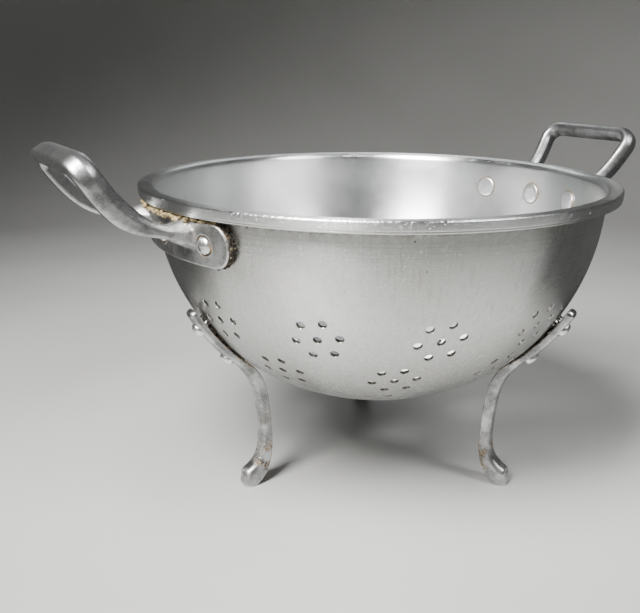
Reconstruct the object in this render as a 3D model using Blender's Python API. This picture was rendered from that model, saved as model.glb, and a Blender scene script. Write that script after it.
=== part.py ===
"""Footed aluminium colander: a spun bowl with drain holes, two loop handles and three legs.

The origin is on the floor under the middle of the bowl. +Z is up and the handles lie along X.
Every cast or spun piece and every rivet is its own object.
"""
from math import acos, atan2, cos, degrees, hypot, pi, radians, sin, tan

import bmesh
import bpy
from mathutils import Matrix, Vector

MM = 0.001

# Bowl: the outer wall is a superellipse turned about Z, measured down from the rim's top.
RIM_TOP = 195.0
RIM_RADIUS = 152.0
BOWL_RADIUS = 143.0
BOWL_DEPTH = 141.7
BOWL_EXPONENT = 2.145
WALL = 2.0
BOWL_SEGMENTS = 48
BOWL_RINGS = 12
WALL_START = 14.0
RIM_FLAT_INNER = 146.4
RIM_FLAT_OUTER = 150.8
RIM_DROP = 7.2

# Drain holes: seven-hole groups, a hole in the middle and six around it.
HOLE_RADIUS = 2.5
HOLE_SIDES = 6
CUT_INSIDE = 6.0
CUT_OUTSIDE = 4.0
HOLE_PITCH = 12.7
HOLE_ROW_PITCH = 11.1
HOLE_TILT = 10.0
# Each ring of groups: depth of its middle row, number of groups, angle of the first one.
HOLE_RINGS = (
    (70.2, 12, 11.7),
    (99.8, 10, 26.0),
    (123.6, 6, 59.3),
)
# A leg's arm takes the place of a group that is nearer to it than this, in depth and in degrees.
COVERED_DEPTH = 15.0
COVERED_ANGLE = 8.0

# Handles: a loop that rises from a curved plate riveted just under the rim.
HANDLE_ANGLES = {"left": 180.0, "right": 0.0}
GRIP_REACH = {"left": 201.6, "right": 197.6}
GRIP_RISE = {"left": 24.0, "right": 22.2}
GRIP_SLOPE = {"left": 57.5, "right": 51.5}
GRIP_HALF_WIDTH = 40.0
GRIP_CORNER = 9.5
ROOT_HALF_WIDTH = 28.0
ROOT_DROP = 16.6
ROOT_X = 142.7
BAR_WIDTH = 8.2
BAR_DEPTH = {"left": 13.4, "right": 11.0}
NECK_DEPTH = 6.8
ROOT_PULL = (36.0, 1.5)
GRIP_PULL = 21.0
FLARE_WIDTH = 11.0
FLARE_DEPTH = 9.5
FLARE_END = 0.26
RISE_STATIONS = 12
CORNER_STATIONS = 5
PLATE_GAP = 0.5
PLATE_THICK = 5.0
PLATE_HALF_ANGLE = 24.2
PLATE_TOP = 8.6
PLATE_BOTTOM = 33.2
PLATE_CORNER = 11.5
PLATE_EDGE = 0.8
HANDLE_RIVET_ANGLES = {"front": 17.3, "middle": 0.0, "back": -17.3}
HANDLE_RIVET_DEPTH = 21.2
RECESS_RADIUS = 5.9
RECESS_DEPTH = 1.2

# Legs: an arm lies along the bowl, then the leg drops and flares out to a rounded toe.
LEG_ANGLES = {"left": 180.0, "right": 300.0, "rear": 60.0}
LEG_WIDTH = 9.4
ARM_THICK = 4.6
ARM_TIP_DEPTH = 70.4
ARM_END_DEPTH = 106.5
ARM_GAP_TIP = 2.3
ARM_GAP_END = 0.6
ARM_STEPS = 7
TIP_ROUND = 2.6
LEG_RIVET_DEPTHS = {"upper": 79.7, "lower": 100.8}

# Rivets.
SHANK_RADIUS = 1.6
SHANK_CLEARANCE = 0.35
SEAT_GAP = 0.35
INNER_HEAD_GAP = 0.85
INNER_HEAD_RADIUS = 7.0
INNER_HEAD_THICK = 1.5
DOME_HEIGHT = 3.2
DOME_RADIUS = 4.8
RIVET_SEGMENTS = 10


def clear_scene():
    for item in list(bpy.data.objects):
        bpy.data.objects.remove(item, do_unlink=True)


def metal(name, colour, roughness):
    """A Principled material with metallic set to one."""
    mat = bpy.data.materials.new(name)
    mat.use_nodes = True
    shader = mat.node_tree.nodes["Principled BSDF"]
    shader.inputs["Base Color"].default_value = (*colour, 1.0)
    shader.inputs["Roughness"].default_value = roughness
    shader.inputs["Metallic"].default_value = 1.0
    return mat


def add_object(name, bm, mat=None):
    """Turn a bmesh in millimetres into an object in metres, shaded smooth."""
    bmesh.ops.remove_doubles(bm, verts=bm.verts, dist=1e-4)
    bmesh.ops.recalc_face_normals(bm, faces=bm.faces)
    bmesh.ops.scale(bm, vec=(MM, MM, MM), verts=bm.verts)
    mesh = bpy.data.meshes.new(name)
    bm.to_mesh(mesh)
    bm.free()
    mesh.shade_smooth()
    mesh.set_sharp_from_angle(angle=radians(40.0))
    if mat:
        mesh.materials.append(mat)
    obj = bpy.data.objects.new(name, mesh)
    bpy.context.scene.collection.objects.link(obj)
    return obj


def as_tool(obj):
    """Mark an object as a cutter or a guide, which isn't a piece of the colander."""
    obj.hide_render = True
    obj.display_type = "WIRE"
    return obj


def add_boolean(obj, tool, operation):
    mod = obj.modifiers.new(operation.lower(), "BOOLEAN")
    mod.operation = operation
    mod.solver = "EXACT"
    mod.object = tool
    return mod


def loft(bm, rings):
    """Join rings of points with quads and cap both ends."""
    loops = [[bm.verts.new(p) for p in ring] for ring in rings]
    count = len(loops[0])
    for near, far in zip(loops, loops[1:]):
        for j in range(count):
            k = (j + 1) % count
            bm.faces.new((near[j], near[k], far[k], far[j]))
    bm.faces.new(loops[0][::-1])
    bm.faces.new(loops[-1])


def turned(bm, profile, segments, matrix=None):
    """Revolve (radius, height) points about Z. A point with no radius is a pole."""
    rows = []
    for radius, height in profile:
        if radius < 1e-6:
            rows.append([bm.verts.new((0.0, 0.0, height))])
            continue
        angles = [2.0 * pi * i / segments for i in range(segments)]
        rows.append([bm.verts.new((radius * cos(a), radius * sin(a), height)) for a in angles])
    for upper, lower in zip(rows, rows[1:]):
        for i in range(segments):
            k = (i + 1) % segments
            corners = [upper[i % len(upper)], upper[k % len(upper)]]
            corners += [lower[k % len(lower)], lower[i % len(lower)]]
            bm.faces.new(list(dict.fromkeys(corners)))
    if matrix:
        bmesh.ops.transform(bm, matrix=matrix, verts=[v for row in rows for v in row])


def bezier(p0, p1, p2, p3, t):
    """A point on a cubic Bezier curve."""
    s = 1.0 - t
    return p0 * s**3 + p1 * 3.0 * s * s * t + p2 * 3.0 * s * t * t + p3 * t**3


def blend(value, start, end):
    """A smooth 0 to 1 ramp between start and end."""
    t = min(max((value - start) / (end - start), 0.0), 1.0)
    return t * t * (3.0 - 2.0 * t)


# --- bowl -----------------------------------------------------------------------------------


def bowl_radius(depth, inset=0.0):
    """Radius of the bowl's wall at a depth below the rim's top."""
    part = min(max(depth / (BOWL_DEPTH - inset), 0.0), 1.0)
    return (BOWL_RADIUS - inset) * (1.0 - part**BOWL_EXPONENT) ** (1.0 / BOWL_EXPONENT)


def bowl_point(depth, angle, lift=0.0):
    """A point over the bowl's outer wall, lift along the outward normal, and that normal."""
    step = 0.05
    slope = (bowl_radius(depth + step) - bowl_radius(depth - step)) / (2.0 * step)
    length = hypot(1.0, slope)
    out, down = 1.0 / length, -slope / length
    radius = bowl_radius(depth) + lift * out
    height = RIM_TOP - depth - lift * down
    turn = radians(angle)
    point = Vector((radius * cos(turn), radius * sin(turn), height))
    normal = Vector((out * cos(turn), out * sin(turn), -down))
    return point, normal


def wall_profile(inset):
    """Wall points from under the rim to the pole, spaced evenly by angle."""
    depth_limit, radius_limit = BOWL_DEPTH - inset, BOWL_RADIUS - inset
    power = 2.0 / BOWL_EXPONENT
    first = atan2((WALL_START / depth_limit) ** (1.0 / power), 1.0)
    points = []
    for i in range(BOWL_RINGS + 1):
        angle = first + (pi / 2.0 - first) * i / BOWL_RINGS
        radius = radius_limit * max(cos(angle), 0.0) ** power
        depth = depth_limit * sin(angle) ** power
        points.append((radius if i < BOWL_RINGS else 0.0, RIM_TOP - depth))
    return points


def rim_profile():
    """The rim from the inner wall over the top, down outside, and back under to the wall."""
    outer = RIM_RADIUS
    inner = BOWL_RADIUS - WALL
    section = (
        (inner, 9.0),
        (inner + 0.7, 5.0),
        (inner + 2.2, 1.9),
        (RIM_FLAT_INNER - 1.0, 0.3),
        (RIM_FLAT_INNER, 0.0),
        (RIM_FLAT_OUTER, 0.0),
        (outer, 1.0),
        (outer - 0.2, 5.2),
        (outer - 0.9, 6.8),
        (outer - 2.2, RIM_DROP),
        (outer - 3.2, 6.6),
        (outer - 2.5, 5.0),
        (outer - 2.4, 2.5),
        (RIM_FLAT_INNER, 2.1),
        (BOWL_RADIUS + 1.3, 3.6),
        (BOWL_RADIUS + 0.4, 6.5),
        (BOWL_RADIUS, 9.0),
    )
    return [(radius, RIM_TOP - depth) for radius, depth in section]


def normal_frame(point, normal):
    """A matrix whose +Z is the normal and whose origin is the point."""
    return Matrix.Translation(point) @ normal.to_track_quat("Z", "X").to_matrix().to_4x4()


def add_prism(bm, depth, angle, radius, sides, low, high):
    """A straight prism along the wall's normal, from low to high over the outer surface."""
    point, normal = bowl_point(depth, angle)
    shape = [(0.0, low), (radius, low), (radius, high), (0.0, high)]
    turned(bm, shape, sides, normal_frame(point, normal))


def group_holes(middle_depth, angle):
    """Depth and angle of the seven holes of one group: tilted rows of two, three and two."""
    step = 0.5
    slope = (bowl_radius(middle_depth - step) - bowl_radius(middle_depth + step)) / (2.0 * step)
    steepness = hypot(1.0, slope)
    tilt = radians(HOLE_TILT)
    for row, count in ((-1, 2), (0, 3), (1, 2)):
        for i in range(count):
            aside = (i - (count - 1) / 2.0) * HOLE_PITCH
            below = row * HOLE_ROW_PITCH
            depth = middle_depth + (below * cos(tilt) - aside * sin(tilt)) / steepness
            around = (aside * cos(tilt) + below * sin(tilt)) / bowl_radius(depth)
            yield depth, angle + degrees(around)


def ring_is_clear(depth, angle):
    """False where a leg's arm covers the place of a group."""
    on_arm = ARM_TIP_DEPTH + COVERED_DEPTH < depth < ARM_END_DEPTH
    offsets = [abs((angle - leg + 180.0) % 360.0 - 180.0) for leg in LEG_ANGLES.values()]
    return not (on_arm and min(offsets) < COVERED_ANGLE)


def drain_hole_cutter():
    bm = bmesh.new()
    for middle, count, first in HOLE_RINGS:
        for i in range(count):
            angle = first + 360.0 * i / count
            if not ring_is_clear(middle, angle):
                continue
            for depth, turn in group_holes(middle, angle):
                add_prism(bm, depth, turn, HOLE_RADIUS, HOLE_SIDES, -CUT_INSIDE, CUT_OUTSIDE)
    floor = RIM_TOP - BOWL_DEPTH
    spots = [(0.0, 0.0)]
    spots += [(HOLE_PITCH * cos(pi * i / 3.0), HOLE_PITCH * sin(pi * i / 3.0)) for i in range(6)]
    low, high = -CUT_OUTSIDE, CUT_INSIDE
    shape = [(0.0, high), (HOLE_RADIUS, high), (HOLE_RADIUS, low), (0.0, low)]
    for x, y in spots:
        turned(bm, shape, HOLE_SIDES, Matrix.Translation((x, y, floor)))
    return as_tool(add_object("drain_hole_cutter", bm))


def rivet_places():
    """Name, depth, angle and height of the outer seat of every rivet."""
    for side, centre in HANDLE_ANGLES.items():
        for place, offset in HANDLE_RIVET_ANGLES.items():
            turn = offset if side == "left" else -offset
            seat = PLATE_GAP + PLATE_THICK - RECESS_DEPTH
            yield f"handle_rivet_{side}_{place}", HANDLE_RIVET_DEPTH, centre + turn, seat
    for leg, angle in LEG_ANGLES.items():
        for place, depth in LEG_RIVET_DEPTHS.items():
            yield f"leg_rivet_{leg}_{place}", depth, angle, arm_gap(depth) + ARM_THICK


def rivet_hole_cutter():
    bm = bmesh.new()
    radius = SHANK_RADIUS + SHANK_CLEARANCE
    for _, depth, angle, seat in rivet_places():
        add_prism(bm, depth, angle, radius, RIVET_SEGMENTS, -CUT_INSIDE, seat + CUT_OUTSIDE)
    return as_tool(add_object("rivet_hole_cutter", bm))


def make_bowl(mat, drain_cutter, rivet_cutter):
    bm = bmesh.new()
    inner = wall_profile(WALL)
    outer = wall_profile(0.0)
    profile = inner[::-1] + rim_profile() + outer
    turned(bm, profile, BOWL_SEGMENTS)
    bowl = add_object("bowl", bm, mat)
    add_boolean(bowl, drain_cutter, "DIFFERENCE")
    add_boolean(bowl, rivet_cutter, "DIFFERENCE")
    return bowl


# --- handles --------------------------------------------------------------------------------


def plate_half_height(along, half_length, half_height):
    """Half the height of the rounded plate at a distance along it."""
    into_corner = abs(along) - (half_length - PLATE_CORNER)
    if into_corner <= 0.0:
        return half_height
    drop = PLATE_CORNER - (max(PLATE_CORNER**2 - into_corner**2, 0.0)) ** 0.5
    return max(half_height - drop, 0.6)


def plate_rings():
    """Cross-sections of the curved plate, from one rounded end to the other."""
    middle = (PLATE_TOP + PLATE_BOTTOM) / 2.0
    half_height = (PLATE_BOTTOM - PLATE_TOP) / 2.0
    reach = bowl_radius(middle)
    half_length = radians(PLATE_HALF_ANGLE) * reach
    corner_start = half_length - PLATE_CORNER
    stations = [corner_start + PLATE_CORNER * sin(pi / 2.0 * i / 5.0) for i in range(1, 6)]
    flat = [corner_start * i / 5.0 for i in range(-5, 6)]
    places = [-s for s in reversed(stations)] + flat + stations
    rings = []
    for along in places:
        half = plate_half_height(along, half_length, half_height)
        angle = degrees(along / reach)
        edge = min(PLATE_EDGE, half * 0.5)
        ring = []
        for offset, lift in (
            (-half, PLATE_GAP),
            (-half, PLATE_GAP + PLATE_THICK - edge),
            (-half + edge, PLATE_GAP + PLATE_THICK),
            (half - edge, PLATE_GAP + PLATE_THICK),
            (half, PLATE_GAP + PLATE_THICK - edge),
            (half, PLATE_GAP),
        ):
            ring.append(bowl_point(middle + offset, angle, lift)[0])
        rings.append(ring)
    return rings


def loop_outline(length, half_root, half_grip):
    """The loop laid flat: points (distance from the root, sideways) from one root to the other."""
    along = Vector((length, half_grip - half_root)).normalized()
    turn = acos(max(-1.0, min(1.0, -along.y)))
    back = GRIP_CORNER * tan(turn / 2.0)
    start = Vector((length, half_grip)) - along * back
    inward = Vector((along.y, -along.x))
    centre = start + inward * GRIP_CORNER
    first = atan2(start.y - centre.y, start.x - centre.x)
    root = Vector((0.0, half_root))
    half = [root.lerp(start, (i / RISE_STATIONS) ** 1.4) for i in range(RISE_STATIONS)]
    for i in range(CORNER_STATIONS + 1):
        angle = first - turn * i / CORNER_STATIONS
        half.append(centre + Vector((cos(angle), sin(angle))) * GRIP_CORNER)
    half.append(Vector((length, half_grip / 3.0)))
    mirrored = [Vector((p.x, -p.y)) for p in reversed(half)]
    return half + mirrored


def bar_section(width, depth):
    """A D-shaped bar: flat sides and back, domed towards the inside of the loop."""
    half, crown = width / 2.0, depth * 0.26
    back, shoulder = -depth / 2.0, depth / 2.0 - crown
    return (
        (-half * 0.72, back),
        (half * 0.72, back),
        (half, back + depth * 0.14),
        (half, shoulder),
        (half * 0.5, depth / 2.0),
        (-half * 0.5, depth / 2.0),
        (-half, shoulder),
        (-half, back + depth * 0.14),
    )


def handle_loop_rings(side):
    """Cross-sections of the bar along the S-shaped rise and round the grip."""
    slope = radians(GRIP_SLOPE[side])
    p0 = Vector((ROOT_X, RIM_TOP - ROOT_DROP))
    p3 = Vector((GRIP_REACH[side], RIM_TOP + GRIP_RISE[side]))
    p1 = p0 + Vector(ROOT_PULL)
    p2 = p3 - Vector((cos(slope), sin(slope))) * GRIP_PULL
    steps = 80
    curve = [bezier(p0, p1, p2, p3, i / steps) for i in range(steps + 1)]
    run = [0.0]
    for a, b in zip(curve, curve[1:]):
        run.append(run[-1] + (b - a).length)
    total = run[-1]

    def at(distance):
        """Point and tangent on the rising curve at a distance from the root."""
        i = max(j for j in range(steps) if run[j] <= max(distance, 0.0) or j == 0)
        t = (distance - run[i]) / (run[i + 1] - run[i])
        return curve[i].lerp(curve[i + 1], t), (curve[i + 1] - curve[i]).normalized()

    outline = loop_outline(total, ROOT_HALF_WIDTH, GRIP_HALF_WIDTH)
    rings = []
    for i, spot in enumerate(outline):
        before = outline[max(i - 1, 0)]
        after = outline[min(i + 1, len(outline) - 1)]
        along = (after - before).normalized()
        aside = Vector((-along.y, along.x))
        point, rising = at(min(spot.x, total - 1e-3))
        centre = Vector((point.x, spot.y, point.y))
        across = Vector((aside.x * rising.x, aside.y, aside.x * rising.y))
        normal = Vector((-rising.y, 0.0, rising.x))
        share = spot.x / total
        flare = (1.0 - blend(share, 0.0, FLARE_END)) ** 1.5
        depth = NECK_DEPTH + (BAR_DEPTH[side] - NECK_DEPTH) * blend(share, 0.15, 0.6)
        section = bar_section(BAR_WIDTH + FLARE_WIDTH * flare, depth + FLARE_DEPTH * flare)
        rings.append([centre + across * a + normal * b for a, b in section])
    return rings


def recess_cutter(side):
    """Shallow round recesses in the plate, which the outer rivet heads sit in."""
    bm = bmesh.new()
    floor = PLATE_GAP + PLATE_THICK - RECESS_DEPTH
    for offset in HANDLE_RIVET_ANGLES.values():
        angle = HANDLE_ANGLES[side] + offset
        top = floor + CUT_INSIDE
        add_prism(bm, HANDLE_RIVET_DEPTH, angle, RECESS_RADIUS, RIVET_SEGMENTS, floor, top)
    return as_tool(add_object(f"recess_cutter_{side}", bm))


def make_handle(side, mat, rivet_cutter):
    turn = Matrix.Rotation(radians(HANDLE_ANGLES[side]), 4, "Z")
    loop_bm = bmesh.new()
    loft(loop_bm, handle_loop_rings(side))
    bmesh.ops.transform(loop_bm, matrix=turn, verts=loop_bm.verts)
    loop = as_tool(add_object(f"handle_loop_guide_{side}", loop_bm))
    bm = bmesh.new()
    loft(bm, plate_rings())
    bmesh.ops.transform(bm, matrix=turn, verts=bm.verts)
    handle = add_object(f"handle_{side}", bm, mat)
    add_boolean(handle, loop, "UNION")
    add_boolean(handle, recess_cutter(side), "DIFFERENCE")
    add_boolean(handle, rivet_cutter, "DIFFERENCE")
    return handle


# --- legs -----------------------------------------------------------------------------------


def arm_gap(depth):
    """Gap between the bowl and a leg's arm: it opens towards the arm's upper tip."""
    share = (ARM_END_DEPTH - depth) / (ARM_END_DEPTH - ARM_TIP_DEPTH)
    return ARM_GAP_END + (ARM_GAP_TIP - ARM_GAP_END) * min(max(share, 0.0), 1.0)


def leg_line():
    """Stations down a leg: (radius, height) of the middle, thickness and width."""
    stations = []
    for i in range(ARM_STEPS + 1):
        share = i / ARM_STEPS
        depth = ARM_TIP_DEPTH + (ARM_END_DEPTH - ARM_TIP_DEPTH) * share
        centre = bowl_point(depth, 0.0, arm_gap(depth) + ARM_THICK / 2.0)[0]
        stations.append((centre.x, centre.z, ARM_THICK, LEG_WIDTH))
    stations += [
        (94.3, 79.6, 6.2, LEG_WIDTH),
        (89.9, 72.0, 6.5, LEG_WIDTH),
        (87.0, 62.4, 6.4, LEG_WIDTH),
        (85.1, 48.4, 6.3, LEG_WIDTH),
        (84.1, 34.4, 6.3, LEG_WIDTH),
        (84.5, 23.4, 6.8, LEG_WIDTH + 0.2),
        (86.7, 15.4, 8.2, LEG_WIDTH + 0.8),
        (90.8, 9.0, 10.2, LEG_WIDTH + 1.3),
        (95.6, 5.1, 11.2, LEG_WIDTH + 1.3),
        (98.9, 4.1, 9.8, LEG_WIDTH + 0.2),
        (100.8, 4.2, 5.6, LEG_WIDTH - 3.6),
    ]
    return stations


def leg_section(width, thick):
    """A bar that is flat towards the bowl and domed outwards, as (sideways, outwards)."""
    half = width / 2.0
    return (
        (-half * 0.86, -thick / 2.0),
        (half * 0.86, -thick / 2.0),
        (half, -thick * 0.3),
        (half * 0.86, thick * 0.22),
        (half * 0.45, thick * 0.46),
        (-half * 0.45, thick * 0.46),
        (-half * 0.86, thick * 0.22),
        (-half, -thick * 0.3),
    )


def flatten_below_floor(bm):
    """Cut the toe level at the floor and close the cut, which leaves a flat pad."""
    geometry = bm.verts[:] + bm.edges[:] + bm.faces[:]
    cut = bmesh.ops.bisect_plane(
        bm, geom=geometry, plane_co=(0.0, 0.0, 0.0), plane_no=(0.0, 0.0, -1.0), clear_outer=True
    )
    rim = [item for item in cut["geom_cut"] if isinstance(item, bmesh.types.BMEdge)]
    bmesh.ops.contextual_create(bm, geom=rim)


def make_leg(name, angle, mat, rivet_cutter):
    bm = bmesh.new()
    stations = leg_line()
    rings = []
    for i, (radius, height, thick, width) in enumerate(stations):
        before = stations[max(i - 1, 0)]
        after = stations[min(i + 1, len(stations) - 1)]
        down = Vector((after[0] - before[0], 0.0, after[1] - before[1])).normalized()
        outward = Vector((-down.z, 0.0, down.x))
        centre = Vector((radius, 0.0, height))
        side = Vector((0.0, 1.0, 0.0))
        rings.append([centre + side * a + outward * b for a, b in leg_section(width, thick)])
    tip, centre = rings[0], sum(rings[0], Vector()) / len(rings[0])
    up = (centre - sum(rings[1], Vector()) / len(rings[1])).normalized()
    rings.insert(0, [centre + (p - centre) * 0.62 + up * TIP_ROUND for p in tip])
    loft(bm, rings)
    flatten_below_floor(bm)
    turn = Matrix.Rotation(radians(angle), 4, "Z")
    bmesh.ops.transform(bm, matrix=turn, verts=bm.verts)
    leg = add_object(name, bm, mat)
    add_boolean(leg, rivet_cutter, "DIFFERENCE")
    return leg


# --- rivets ---------------------------------------------------------------------------------


def make_rivet(name, depth, angle, seat, mat):
    """Domed outer head, shank and flat inner head, turned about the wall's normal."""
    base = seat + SEAT_GAP
    inside = -WALL - INNER_HEAD_GAP
    profile = (
        (0.0, base + DOME_HEIGHT),
        (DOME_RADIUS * 0.72, base + DOME_HEIGHT * 0.76),
        (DOME_RADIUS, base + DOME_HEIGHT * 0.2),
        (DOME_RADIUS, base),
        (SHANK_RADIUS, base),
        (SHANK_RADIUS, inside),
        (INNER_HEAD_RADIUS, inside),
        (INNER_HEAD_RADIUS * 0.97, inside - INNER_HEAD_THICK),
        (0.0, inside - INNER_HEAD_THICK),
    )
    bm = bmesh.new()
    point, normal = bowl_point(depth, angle)
    turned(bm, profile, RIVET_SEGMENTS, normal_frame(point, normal))
    return add_object(name, bm, mat)


def main():
    clear_scene()
    spun = metal("spun_aluminium", (0.60, 0.61, 0.60), 0.36)
    cast = metal("cast_aluminium", (0.47, 0.47, 0.46), 0.44)
    rivet = metal("rivet_aluminium", (0.70, 0.71, 0.71), 0.30)
    rivet_cutter = rivet_hole_cutter()
    make_bowl(spun, drain_hole_cutter(), rivet_cutter)
    for side in HANDLE_ANGLES:
        make_handle(side, cast, rivet_cutter)
    for leg, angle in LEG_ANGLES.items():
        make_leg(f"leg_{leg}", angle, cast, rivet_cutter)
    for name, depth, angle, seat in rivet_places():
        make_rivet(name, depth, angle, seat, rivet)


main()
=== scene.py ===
"""Looks for the footed colander: worn spun aluminium, cast handles and legs, rivets and grime.

Sizes are in millimetres and degrees until a mesh is made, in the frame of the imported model.
Depths are measured down from the rim's top, and angles run round the bowl from +X.
"""
import random
from math import acos, atan2, cos, degrees, exp, hypot, pi, radians, sin, tan

import bmesh
import bpy
import numpy as np
from mathutils import Matrix, Vector, noise


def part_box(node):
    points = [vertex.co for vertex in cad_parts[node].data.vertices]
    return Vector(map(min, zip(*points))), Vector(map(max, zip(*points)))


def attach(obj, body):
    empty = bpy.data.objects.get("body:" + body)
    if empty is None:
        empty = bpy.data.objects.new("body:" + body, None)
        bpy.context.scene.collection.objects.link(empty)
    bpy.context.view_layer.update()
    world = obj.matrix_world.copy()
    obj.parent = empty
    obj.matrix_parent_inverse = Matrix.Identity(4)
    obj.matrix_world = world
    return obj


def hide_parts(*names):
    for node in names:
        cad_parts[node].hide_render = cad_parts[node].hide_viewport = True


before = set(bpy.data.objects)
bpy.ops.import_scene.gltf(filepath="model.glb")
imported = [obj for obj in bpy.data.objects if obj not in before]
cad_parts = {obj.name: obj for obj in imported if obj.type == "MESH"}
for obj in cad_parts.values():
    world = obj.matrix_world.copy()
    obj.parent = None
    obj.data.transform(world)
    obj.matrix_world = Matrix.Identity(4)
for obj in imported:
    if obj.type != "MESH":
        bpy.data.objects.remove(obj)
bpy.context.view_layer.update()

MM = 0.001
SEED = 7

# Bowl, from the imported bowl's own box.
BOWL_LOW, BOWL_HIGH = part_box("bowl")
RIM_TOP = BOWL_HIGH.z / MM
RIM_RADIUS = BOWL_HIGH.x / MM
BOWL_RADIUS = RIM_RADIUS - 9.0
BOWL_DEPTH = (BOWL_HIGH.z - BOWL_LOW.z) / MM
BOWL_EXPONENT = 2.145
WALL = 2.0
WALL_START = 14.0
WALL_RINGS = 40
BOWL_SEGMENTS = 240

# Drain holes.
HOLE_RADIUS = 2.5
HOLE_CHAMFER = 0.3
HOLE_SIDES = 20
HOLE_PITCH = 12.7
HOLE_ROW_PITCH = 11.1
HOLE_TILT = 10.0
FLOOR_TWIST = 0.7
GROUP_HALF_HEIGHT = 15.0
ARM_CLEARANCE = 8.0
HOLE_RINGS = ((70.2, 12, 11.7), (99.8, 10, 26.0), (123.6, 6, 59.3))

# Handles.
HANDLE_ANGLES = {"left": 180.0, "right": 0.0}
GRIP_REACH = {"left": 201.6, "right": 197.6}
GRIP_RISE = {"left": 24.0, "right": 22.2}
GRIP_SLOPE = {"left": 57.5, "right": 51.5}
BAR_DEPTH = {"left": 13.4, "right": 11.0}
GRIP_HALF_WIDTH = 40.0
GRIP_CORNER = 9.5
ROOT_HALF_WIDTH = 28.0
ROOT_DROP = 16.6
ROOT_X = 142.7
ROOT_PULL = (36.0, 1.5)
GRIP_PULL = 21.0
BAR_WIDTH = 8.9
NECK_DEPTH = 6.8
FLARE_WIDTH = 11.0
FLARE_DEPTH = 9.5
FLARE_END = 0.26
PLATE_GAP = 0.5
PLATE_THICK = 5.0
PLATE_HALF_ANGLE = 24.2
PLATE_TOP = 8.6
PLATE_BOTTOM = 33.2
PLATE_MIDDLE = (PLATE_TOP + PLATE_BOTTOM) / 2.0
PLATE_HALF_HEIGHT = (PLATE_BOTTOM - PLATE_TOP) / 2.0
PLATE_CORNER = 11.5
HANDLE_RIVET_ANGLES = {"front": 17.3, "middle": 0.0, "back": -17.3}
HANDLE_RIVET_DEPTH = 21.2
RECESS_RADIUS = 5.9
RECESS_FLOOR = 4.3

# Legs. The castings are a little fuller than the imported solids.
LEG_ANGLES = {"left": 180.0, "right": 300.0, "rear": 60.0}
LEG_WIDTH = 9.4
LEG_FULLNESS = 1.14
ARM_THICK = 4.6
ARM_TIP_DEPTH = 70.4
ARM_END_DEPTH = 106.5
ARM_GAP_TIP = 2.3
ARM_GAP_END = 0.6
LEG_RIVET_DEPTHS = {"upper": 79.7, "lower": 100.8}

# Rivets.
DOME_HEIGHT = 3.4
DOME_RADIUS = 4.9
INNER_HEAD_RADIUS = 7.0

# Castings and dirt: the size of the voxels they are fused with.
CASTING_VOXEL = 0.7
DIRT_VOXEL = 0.45
ARM_DIRT_VOXEL = 0.4

# Dirt: how many lumps, how far it runs either way of a handle's middle, and its tones in the
# hollows, on the faces and in spots. The black grit round the plates' ends also serves as their
# painted contact shadow.
CRUST_LUMPS = {"left": 760, "right": 400}
CRUST_SPAN = 21.0
SKIRT_LUMPS = {"left": 460, "right": 300}
ARM_LUMPS = 260
DIRT = {
    "tan_crust": ((0.07, 0.05, 0.025), (0.40, 0.31, 0.15), (0.03, 0.022, 0.015)),
    "dark_crust": ((0.010, 0.009, 0.008), (0.06, 0.042, 0.024), (0.02, 0.016, 0.01)),
    "black_grit_and_shadow": ((0.012, 0.011, 0.010), (0.055, 0.045, 0.03), (0.30, 0.23, 0.12)),
    "ring_crust": ((0.08, 0.055, 0.03), (0.22, 0.165, 0.10), (0.05, 0.03, 0.02)),
}

# Studio: azimuth, elevation, distance (m), size (m), watts, spread and colour of each softbox,
# and the first and last azimuth of each dark card.
SOFTBOXES = {
    "key": (203.0, 52.0, 1.10, (0.38, 0.72), 12.0, 80.0, (1.0, 0.99, 0.97)),
    "side": (295.0, 48.0, 1.25, (0.36, 0.50), 1.7, 70.0, (1.0, 1.0, 1.0)),
    "back": (60.0, 38.0, 1.30, (0.80, 0.30), 0.5, 90.0, (0.95, 0.98, 1.0)),
}
DARK_CARDS = {"dark_card_right": (307.0, 395.0), "dark_card_left": (92.0, 160.0)}
ROOM_COLOUR = (0.92, 0.97, 1.0, 1.0)
ROOM_STRENGTH = 0.03

# Camera: where the lens is, how it is turned, and its focal length on a 36 mm sensor.
CAMERA_PLACE = (-305.1, -435.8, 266.9)
CAMERA_TURN = (73.234, -0.310, -30.993)
CAMERA_LENS = 45.79


# --- small helpers ---


def blend(value, start, end):
    """A smooth 0 to 1 ramp between start and end."""
    t = min(max((value - start) / (end - start), 0.0), 1.0)
    return t * t * (3.0 - 2.0 * t)


def turn_gap(a, b):
    """The unsigned angle between two directions."""
    return abs((a - b + 180.0) % 360.0 - 180.0)


def linked(name, data):
    """A new object in the scene."""
    obj = bpy.data.objects.new(name, data)
    bpy.context.scene.collection.objects.link(obj)
    return obj


def piece(name, mesh, slot, materials, *nodes):
    """Link a mesh as a piece of the object that rides on the root body."""
    obj = linked(name, mesh)
    for mat in materials:
        mesh.materials.append(mat)
    if nodes:
        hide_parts(*nodes)
    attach(obj, "root")
    return obj


def mesh_from(bm, name):
    """Turn a bmesh in millimetres into a smooth mesh in metres."""
    bmesh.ops.remove_doubles(bm, verts=bm.verts, dist=1e-4)
    bmesh.ops.recalc_face_normals(bm, faces=bm.faces)
    bmesh.ops.scale(bm, vec=(MM, MM, MM), verts=bm.verts)
    mesh = bpy.data.meshes.new(name)
    bm.to_mesh(mesh)
    bm.free()
    mesh.shade_smooth()
    return mesh


def evaluated(mesh, *modifiers):
    """A new mesh with modifiers applied; each is a type and its settings."""
    obj = linked("work", mesh)
    for kind, settings in modifiers:
        mod = obj.modifiers.new(kind.lower(), kind)
        for key, value in settings.items():
            setattr(mod, key, value)
    graph = bpy.context.evaluated_depsgraph_get()
    result = bpy.data.meshes.new_from_object(obj.evaluated_get(graph))
    bpy.data.objects.remove(obj, do_unlink=True)
    result.shade_smooth()
    return result


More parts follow.
